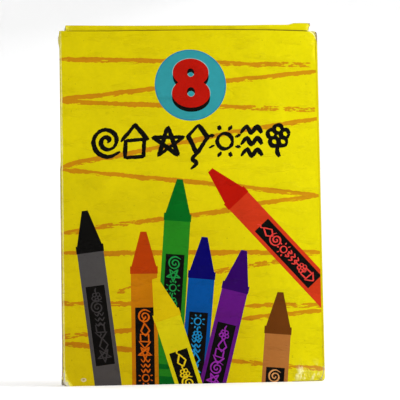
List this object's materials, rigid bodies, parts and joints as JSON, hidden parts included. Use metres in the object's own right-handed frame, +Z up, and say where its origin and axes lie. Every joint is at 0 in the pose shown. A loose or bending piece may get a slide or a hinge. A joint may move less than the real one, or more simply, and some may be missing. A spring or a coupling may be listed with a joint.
{
  "type": "crayon box",
  "caption": "Flat paperboard carton with a hinged tuck-in lid and bottom, holding one row of paper-wrapped wax crayons of different colours.",
  "frame": {"origin": "centre of the carton's footprint, on the surface that it stands on", "axes": "+Z up along the carton and the crayons, +X to the right as the printed front is read, front facing -Y"},
  "size_m": [0.07, 0.0116, 0.096],
  "materials": {
    "printed_board": "coated white-lined paperboard, printed yellow with a glossy varnish outside",
    "plain_board": "uncoated grey-white paperboard",
    "black_wax": "moulded wax with a soft sheen",
    "black_paper": "matt printed paper, wound and glued",
    "orange_wax": "moulded wax with a soft sheen",
    "orange_paper": "matt printed paper, wound and glued",
    "yellow_wax": "moulded wax with a soft sheen",
    "yellow_paper": "matt printed paper, wound and glued",
    "green_wax": "moulded wax with a soft sheen",
    "green_paper": "matt printed paper, wound and glued",
    "blue_wax": "moulded wax with a soft sheen",
    "blue_paper": "matt printed paper, wound and glued",
    "purple_wax": "moulded wax with a soft sheen",
    "purple_paper": "matt printed paper, wound and glued",
    "brown_wax": "moulded wax with a soft sheen",
    "brown_paper": "matt printed paper, wound and glued",
    "red_wax": "moulded wax with a soft sheen",
    "red_paper": "matt printed paper, wound and glued"
  },
  "bodies": {
    "sleeve": {"front_panel": "printed_board", "back_panel": "printed_board", "left_side_panel": "printed_board", "right_side_panel": "printed_board", "glue_flap": "plain_board"},
    "lid": {"lid_panel": "printed_board"},
    "lid_tuck": {"lid_tuck_flap": "plain_board"},
    "top_left_dust": {"top_left_dust_flap": "plain_board"},
    "top_right_dust": {"top_right_dust_flap": "plain_board"},
    "bottom": {"bottom_panel": "printed_board"},
    "bottom_tuck": {"bottom_tuck_flap": "plain_board"},
    "bottom_left_dust": {"bottom_left_dust_flap": "plain_board"},
    "bottom_right_dust": {"bottom_right_dust_flap": "plain_board"},
    "black": {"black_crayon": "black_wax", "black_wrapper": "black_paper"},
    "orange": {"orange_crayon": "orange_wax", "orange_wrapper": "orange_paper"},
    "yellow": {"yellow_crayon": "yellow_wax", "yellow_wrapper": "yellow_paper"},
    "green": {"green_crayon": "green_wax", "green_wrapper": "green_paper"},
    "blue": {"blue_crayon": "blue_wax", "blue_wrapper": "blue_paper"},
    "purple": {"purple_crayon": "purple_wax", "purple_wrapper": "purple_paper"},
    "brown": {"brown_crayon": "brown_wax", "brown_wrapper": "brown_paper"},
    "red": {"red_crayon": "red_wax", "red_wrapper": "red_paper"}
  },
  "joints": [
    {"name": "lid_open", "type": "hinge", "parent": "sleeve", "child": "lid", "pos_m": [0, 0.00575, 0.096], "axis": [-1, 0, 0], "range_deg": [0, 175], "deforming": ["lid_tuck_flap"]},
    {"name": "lid_tuck_fold", "type": "hinge", "parent": "lid", "child": "lid_tuck", "pos_m": [0, -0.0052, 0.096], "axis": [-1, 0, 0], "range_deg": [0, 30]},
    {"name": "top_left_dust_fold", "type": "hinge", "parent": "sleeve", "child": "top_left_dust", "pos_m": [-0.035, 0, 0.0946], "axis": [0, -1, 0], "range_deg": [0, 90]},
    {"name": "top_right_dust_fold", "type": "hinge", "parent": "sleeve", "child": "top_right_dust", "pos_m": [0.035, 0, 0.0946], "axis": [0, 1, 0], "range_deg": [0, 90]},
    {"name": "bottom_open", "type": "hinge", "parent": "sleeve", "child": "bottom", "pos_m": [0, -0.00525, 0], "axis": [-1, 0, 0], "range_deg": [0, 175], "deforming": ["bottom_tuck_flap"]},
    {"name": "bottom_tuck_fold", "type": "hinge", "parent": "bottom", "child": "bottom_tuck", "pos_m": [0, 0.0052, 0], "axis": [-1, 0, 0], "range_deg": [0, 30]},
    {"name": "bottom_left_dust_fold", "type": "hinge", "parent": "sleeve", "child": "bottom_left_dust", "pos_m": [-0.035, 0, 0.0014], "axis": [0, 1, 0], "range_deg": [0, 90]},
    {"name": "bottom_right_dust_fold", "type": "hinge", "parent": "sleeve", "child": "bottom_right_dust", "pos_m": [0.035, 0, 0.0014], "axis": [0, -1, 0], "range_deg": [0, 90]},
    {"name": "black_crayon_lift", "type": "slide", "parent": "sleeve", "child": "black", "axis": [0, 0, 1], "range_m": [0, 0.008]},
    {"name": "orange_crayon_lift", "type": "slide", "parent": "sleeve", "child": "orange", "axis": [0, 0, 1], "range_m": [0, 0.017]},
    {"name": "yellow_crayon_lift", "type": "slide", "parent": "sleeve", "child": "yellow", "axis": [0, 0, 1], "range_m": [0, 0.025]},
    {"name": "green_crayon_lift", "type": "slide", "parent": "sleeve", "child": "green", "axis": [0, 0, 1], "range_m": [0, 0.03]},
    {"name": "blue_crayon_lift", "type": "slide", "parent": "sleeve", "child": "blue", "axis": [0, 0, 1], "range_m": [0, 0.028]},
    {"name": "purple_crayon_lift", "type": "slide", "parent": "sleeve", "child": "purple", "axis": [0, 0, 1], "range_m": [0, 0.023]},
    {"name": "brown_crayon_lift", "type": "slide", "parent": "sleeve", "child": "brown", "axis": [0, 0, 1], "range_m": [0, 0.015]},
    {"name": "red_crayon_lift", "type": "slide", "parent": "sleeve", "child": "red", "axis": [0, 0, 1], "range_m": [0, 0.01]}
  ],
  "couplings": [
    {"joint": "lid_open", "follows": "green_crayon_lift", "rad_per_m": 101.8},
    {"joint": "lid_tuck_fold", "follows": "green_crayon_lift", "rad_per_m": 15.7},
    {"joint": "top_left_dust_fold", "follows": "green_crayon_lift", "rad_per_m": 50.9},
    {"joint": "top_right_dust_fold", "follows": "green_crayon_lift", "rad_per_m": 50.9},
    {"joint": "bottom_tuck_fold", "follows": "bottom_open", "ratio": 0.15},
    {"joint": "bottom_left_dust_fold", "follows": "bottom_open", "ratio": 0.5},
    {"joint": "bottom_right_dust_fold", "follows": "bottom_open", "ratio": 0.5},
    {"joint": "black_crayon_lift", "follows": "green_crayon_lift", "ratio": 0.2666},
    {"joint": "orange_crayon_lift", "follows": "green_crayon_lift", "ratio": 0.5666},
    {"joint": "yellow_crayon_lift", "follows": "green_crayon_lift", "ratio": 0.8333},
    {"joint": "blue_crayon_lift", "follows": "green_crayon_lift", "ratio": 0.9333},
    {"joint": "purple_crayon_lift", "follows": "green_crayon_lift", "ratio": 0.7666},
    {"joint": "brown_crayon_lift", "follows": "green_crayon_lift", "ratio": 0.5},
    {"joint": "red_crayon_lift", "follows": "green_crayon_lift", "ratio": 0.3333}
  ]
}
